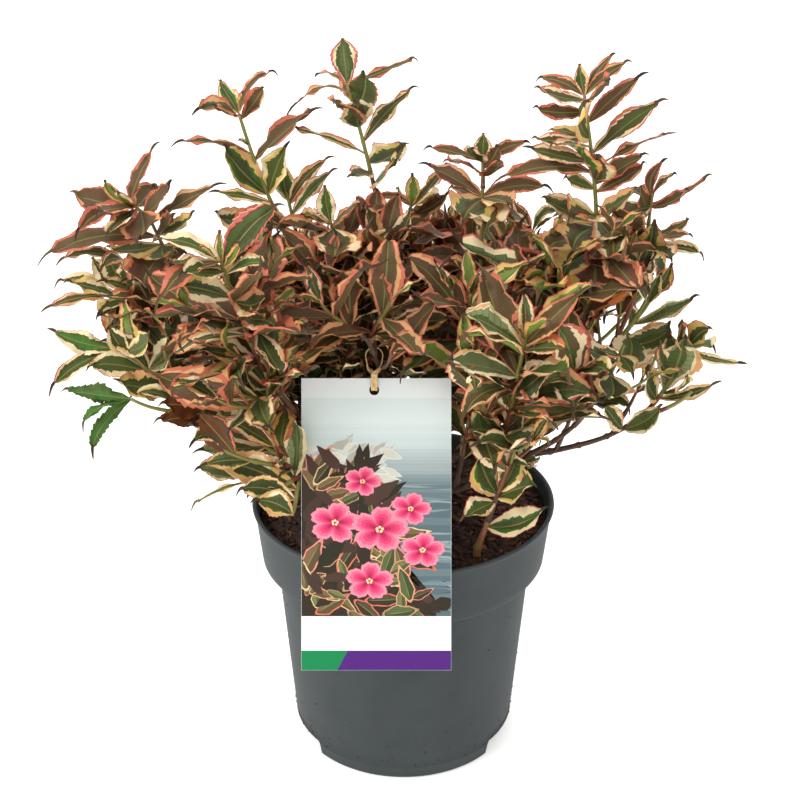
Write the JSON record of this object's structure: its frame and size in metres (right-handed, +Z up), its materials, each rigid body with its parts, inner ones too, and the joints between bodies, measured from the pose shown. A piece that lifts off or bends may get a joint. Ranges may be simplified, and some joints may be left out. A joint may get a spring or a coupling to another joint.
{
  "type": "potted dwarf weigela",
  "caption": "Compact variegated weigela shrub in a round nursery pot, with soil, leafy boughs and a hanging plant label.",
  "frame": {"origin": "centre of the pot's flat underside, on the surface it stands on", "axes": "+Z up, +X to the right as seen from the label's side, -Y to the front, where the label hangs"},
  "size_m": [0.4336, 0.3282, 0.4459],
  "materials": {
    "pot": "moulded grey plastic, satin, a little soil-stained",
    "soil": "moist dark compost with bark chips and fibres",
    "label": "smooth printed plastic card",
    "strap": "tan plastic strip, semi-matte",
    "bark": "red-brown young bark with knuckles and fine ridges",
    "young_stem": "smooth green to reddish shoot",
    "leaves": "satin variegated leaf, green to bronze with cream and coral margins"
  },
  "bodies": {
    "root": {"pot": "pot", "soil": "soil", "label": "label", "label_strap": "strap", "trunk": "bark", "bough_left": "bark", "leaves_left": "leaves", "bough_left_low": "bark", "leaves_left_low": "leaves", "bough_left_front": "bark", "leaves_left_front": "leaves", "bough_left_foot": "bark", "leaves_left_foot": "leaves", "bough_upper_left": "bark", "leaves_upper_left": "leaves", "bough_top": "bark", "leaves_top": "leaves", "bough_middle_back": "bark", "leaves_middle_back": "leaves", "bough_rosette": "bark", "leaves_rosette": "leaves", "bough_right_tall": "bark", "leaves_right_tall": "leaves", "bough_right_side": "bark", "leaves_right_side": "leaves", "bough_right_low": "bark", "leaves_right_low": "leaves", "bough_right_mid": "bark", "leaves_right_mid": "leaves", "bough_front_right": "bark", "leaves_front_right": "leaves", "bough_front_middle": "bark", "leaves_front_middle": "leaves", "bough_middle_left": "bark", "leaves_middle_left": "leaves", "bough_middle_right": "bark", "leaves_middle_right": "leaves", "bough_back_1": "bark", "leaves_back_1": "leaves", "bough_back_2": "bark", "leaves_back_2": "leaves", "bough_back_3": "bark", "leaves_back_3": "leaves", "bough_back_4": "bark", "leaves_back_4": "leaves", "bough_back_5": "bark", "leaves_back_5": "leaves", "bough_back_6": "bark", "leaves_back_6": "leaves", "bough_back_7": "bark", "leaves_back_7": "leaves", "bough_back_8": "bark", "leaves_back_8": "leaves", "bough_sprout": "young_stem", "leaves_sprout": "leaves"}
  },
  "joints": []
}
